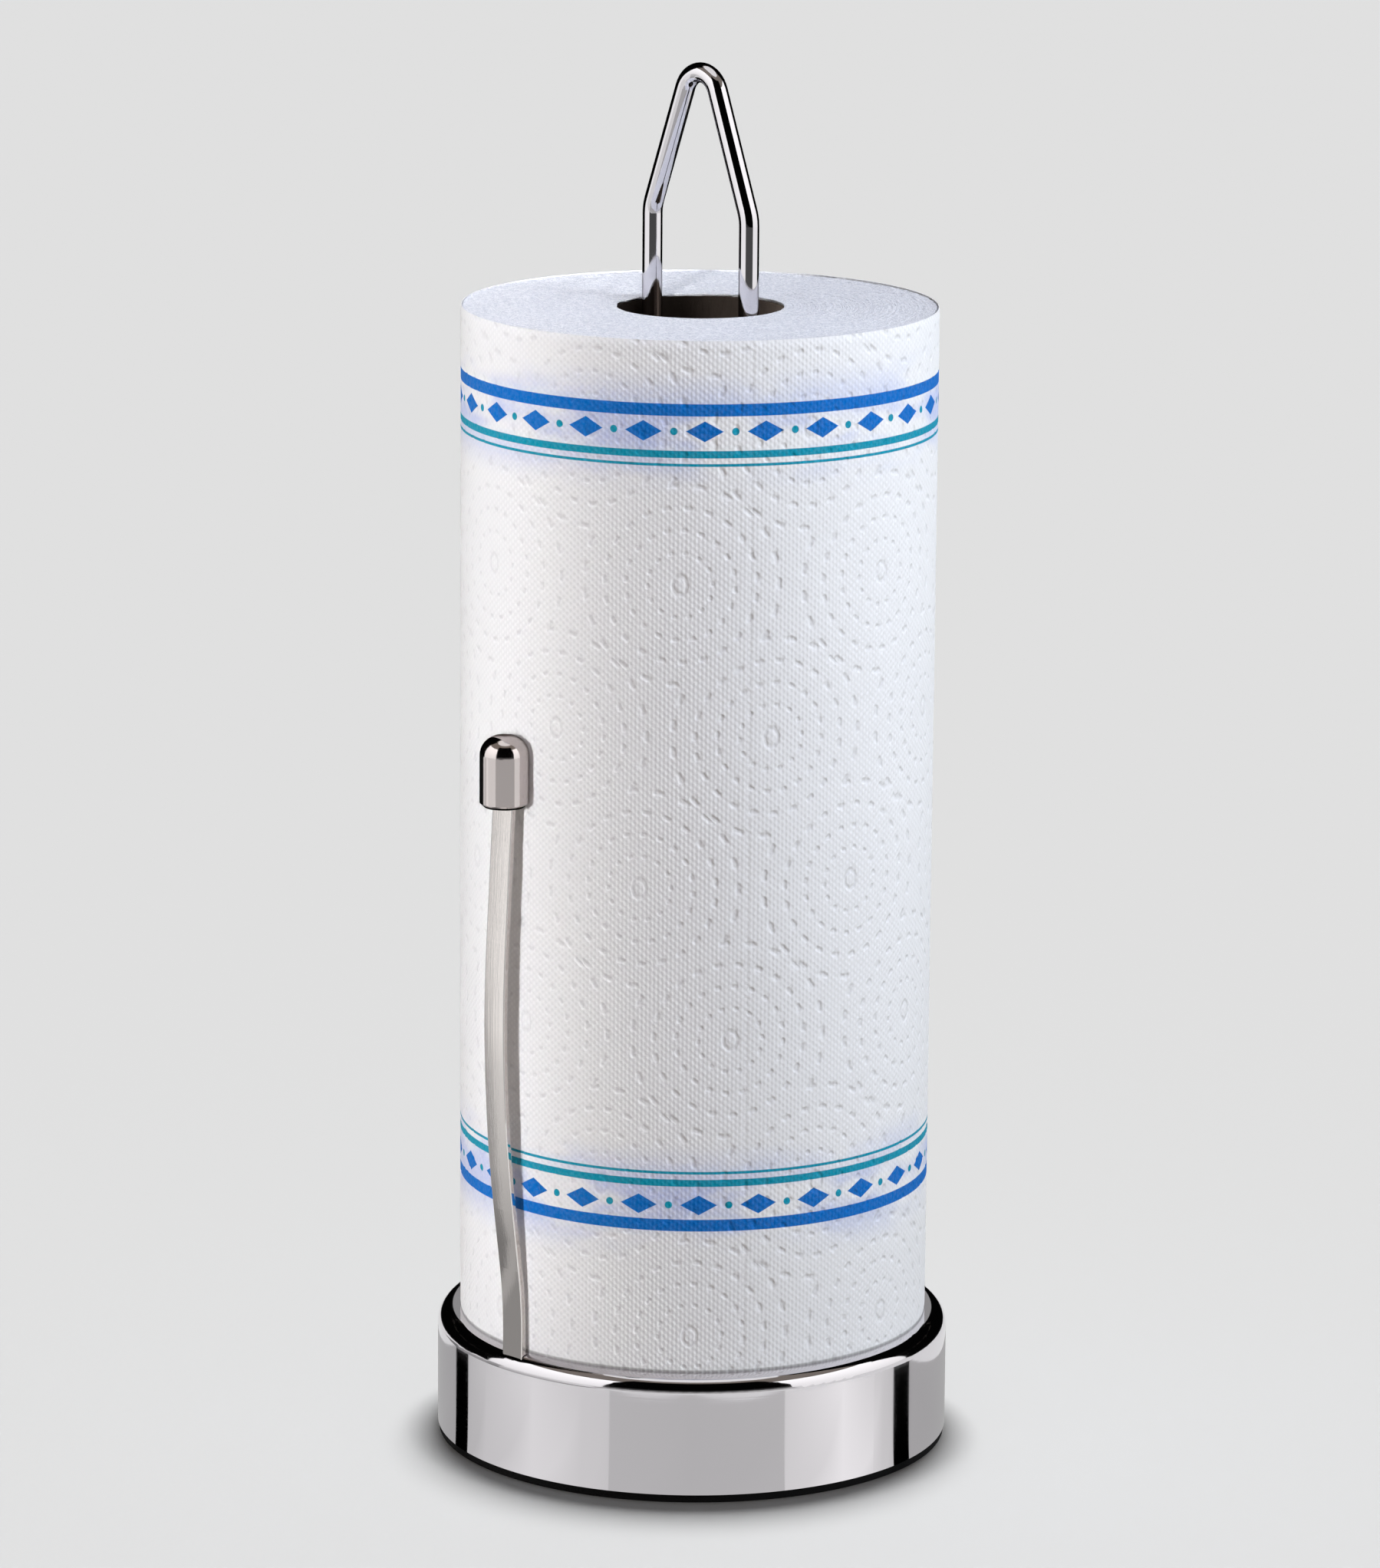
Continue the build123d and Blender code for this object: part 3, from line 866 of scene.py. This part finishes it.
def soft_sun(name, turn, lift, strength, spread, shade):
    data = bpy.data.lights.new(name, "SUN")
    data.energy, data.angle, data.color = strength, radians(spread), shade
    place = around(turn, cos(radians(lift)), sin(radians(lift)))
    return aimed(bpy.data.objects.new(name, data), place, Vector())


def soft_box(name, place, width, power, shade=WHITE, aim=Vector((0, 0, LIGHT_AIM))):
    data = bpy.data.lights.new(name, "AREA")
    data.energy, data.size, data.color = power, width, shade
    return aimed(bpy.data.objects.new(name, data), place, aim)


def strip_light(name, turn, lift, aside, power, shade):
    """Tall narrow light with a grid on it, whose beam is brightest aside of the roll."""
    aim_height, distance, width, height, beam = 0.195, 0.9, 0.11, 0.42, 11
    way = around(turn, cos(radians(lift)), sin(radians(lift)))
    aim = around(-90, aside, aim_height)
    light = soft_box(name, aim + way * distance, width, power, shade, aim)
    light.data.shape = "RECTANGLE"
    light.data.size_y = height
    light.data.spread = radians(beam)
    return light


def shade_ring(margin, height):
    """Flag just round the base that softens the floor light at its foot and that nothing else meets."""
    turns = np.linspace(0, 360, 65)
    edges = DRUM_RADIUS - 2 * MM, DRUM_RADIUS + margin
    flag = glow_card("shade ring", [[(around(turn, edge, height), 0.0) for turn in turns] for edge in edges])
    flag.visible_glossy = False
    flag.visible_shadow = True
    return flag


def group_of(name, things):
    group = bpy.data.collections.new(name)
    for thing in things:
        group.objects.link(thing)
    return group


def lamps(pieces, core, floor):
    """Lights on the pieces, on the inside of the core and on the floor, each group by itself."""
    lit_pieces = group_of("lit pieces", pieces)
    for light in (
        strip_light("key light", turn=-14, lift=11, aside=0.088, power=0.265, shade=(0.98, 0.974, 1.0)),
        soft_box("right light", around(62, 0.8, 0.48), width=0.4, power=6.05, shade=(0.845, 0.913, 1.0)),
        soft_box("front light", around(6, 1.1, 0.75), width=0.4, power=0.7, shade=(1.0, 0.834, 0.849)),
        soft_box("top light", around(30, 0.13, 0.95), width=0.5, power=3.32, shade=(0.73, 0.80, 1.0)),
        soft_box("back light", around(170, 1.1, 0.32), width=0.8, power=6.5),
        soft_box("left light", around(-125, 1.1, 0.32), width=0.8, power=2.2),
    ):
        light.light_linking.receiver_collection = lit_pieces
    roll_top = Vector((0, 0, SEAT + ROLL_HEIGHT))
    inside = soft_box("core light", around(-86, 0.5, 0.8), width=0.2, power=11.0, aim=roll_top)
    inside.light_linking.receiver_collection = group_of("lit core", [core])
    ground = soft_sun("floor light", turn=173, lift=64, strength=4.9, spread=40, shade=(1.0, 0.937, 0.882))
    ground.light_linking.receiver_collection = group_of("lit floor", [floor])
    flag = shade_ring(margin=3.5 * MM, height=18 * MM)
    ground.light_linking.blocker_collection = group_of(
        "drum shade", [nodes["base_shell"], nodes["foot_pad"], flag]
    )


def mirrored_cards():
    """What the polished metal mirrors: a dome, the floor's bands, and the floor next to strip and drum."""
    black = (0.001, 0.001)
    dome_card("low front", turns=(-38, 44), lifts=(0, 10), levels=(0.10, 0.03))
    dome_card("dark front", turns=(-38, 44), lifts=(10, 60), levels=black)
    dome_card("overhead", turns=(0, 360), lifts=(70, 89), levels=(0.85, 0.85))
    dome_card("white left", turns=(-100, -38), lifts=(1, 47), levels=(0.95, 1.3))
    dome_card("white right", turns=(44, 108), lifts=(1, 47), levels=(0.95, 1.3))
    dome_card("dark back", turns=(108, 260), lifts=(22, 68), levels=black)
    dome_card("dark back right", turns=(108, 172), lifts=(0, 22), levels=black)
    dome_card("dark back left", turns=(188, 260), lifts=(0, 22), levels=black)
    dome_card("grey back", turns=(172, 188), lifts=(0, 22), levels=(0.3, 0.3))
    floor_card("dark floor behind", turns=(108, 252), reaches=(0.4, 3.0), level=0.01)
    floor_card("grey floor in front", turns=(-40, 45), reaches=(0.3, 1.4), level=0.43)
    strip_card()
    floor_fan("left end", [(-89, 0.44), (-67, 0.41)])
    floor_fan("left stripe", [(-67, 0.0), (-60.6, 0.0)])
    floor_fan("left side", [(-60.6, 0.55), (-53, 0.66), (-38, 0.83), (-25, 0.71), (-18.4, 0.68)])
    floor_fan("front", [(-18.4, 0.55), (0, 0.53), (21.2, 0.55)])
    floor_fan("right side", [(21.2, 0.75), (36, 0.97), (48, 0.7), (51.9, 0.62)])
    floor_fan("right stripe", [(51.9, 0.0), (58.1, 0.0)])
    floor_fan("right end", [(58.1, 0.44), (89, 0.42)])


def studio(pieces, core):
    world = bpy.data.worlds.new("studio")
    bpy.context.scene.world = world
    world.use_nodes = True
    background = world.node_tree.nodes["Background"]
    Fields(world.node_tree).fill(background, {"Color": (*WARM, 1.0), "Strength": WORLD_STRENGTH})

    far = FLOOR_HALF
    corners = [(-far, -far, 0), (far, -far, 0), (far, far, 0), (-far, far, 0)]
    floor = stage_sheet("floor", corners, floor_paint((0.465, 0.5, 0.535)))
    floor.visible_diffuse = False
    lamps(pieces, core, floor)
    mirrored_cards()


def photograph_camera():
    data = bpy.data.cameras.new("camera")
    data.lens = FOCAL_PIXELS / FRAME_PIXELS * data.sensor_width
    data.clip_end = 60.0
    camera = bpy.data.objects.new("camera", data)
    bpy.context.scene.collection.objects.link(camera)
    place = around(0, VIEW_DISTANCE, VIEW_HEIGHT)
    aim = around(90, AIM_ASIDE, AIM_HEIGHT)
    level = (aim - place).to_track_quat("-Z", "Y").to_matrix()
    turned = level @ Matrix.Rotation(CAMERA_ROLL, 3, "Z")
    camera.matrix_world = Matrix.Translation(place) @ turned.to_4x4()
    bpy.context.scene.camera = camera


def dress(node, material):
    nodes[node].data.materials.clear()
    nodes[node].data.materials.append(material)


def main():
    drum = polished_steel("polished drum steel", (6.0, 6.0, 1400.0), (0.04, 0.08))
    wire = polished_steel("polished wire steel", (900.0, 900.0, 12.0), (0.02, 0.06), edge=0.0)
    bright = (0.92, 0.87, 0.84)
    strip = polished_steel("polished strip steel", (1500.0, 1500.0, 8.0), (0.015, 0.04), bright)
    for node, material in {
        "base_shell": drum,
        "post_loop": wire,
        "tension_arm": strip,
        "arm_tip_cap": cap_steel(),
        "foot_pad": pad_rubber(),
        "ballast_weight": cast_iron(),
    }.items():
        dress(node, material)
    zinc = plated_steel()
    for node in (
        "bottom_plate", "plate_screws", "post_washers", "post_nuts", "arm_bracket",
        "arm_pivot_pin", "pin_clip", "arm_barrel", "arm_springs",
    ):
        dress(node, zinc)

    sheets = paper_sheets(towel_paper())
    body = wound_body(layered_end())
    core = spiral_core(core_board())
    for piece in (*sheets, body):
        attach(piece, "roll")
    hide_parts("paper_roll")
    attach(core, "roll")
    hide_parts("cardboard_core")

    studio([*nodes.values(), *sheets, body], core)
    photograph_camera()
    bpy.context.scene.view_settings.view_transform = "Standard"


main()
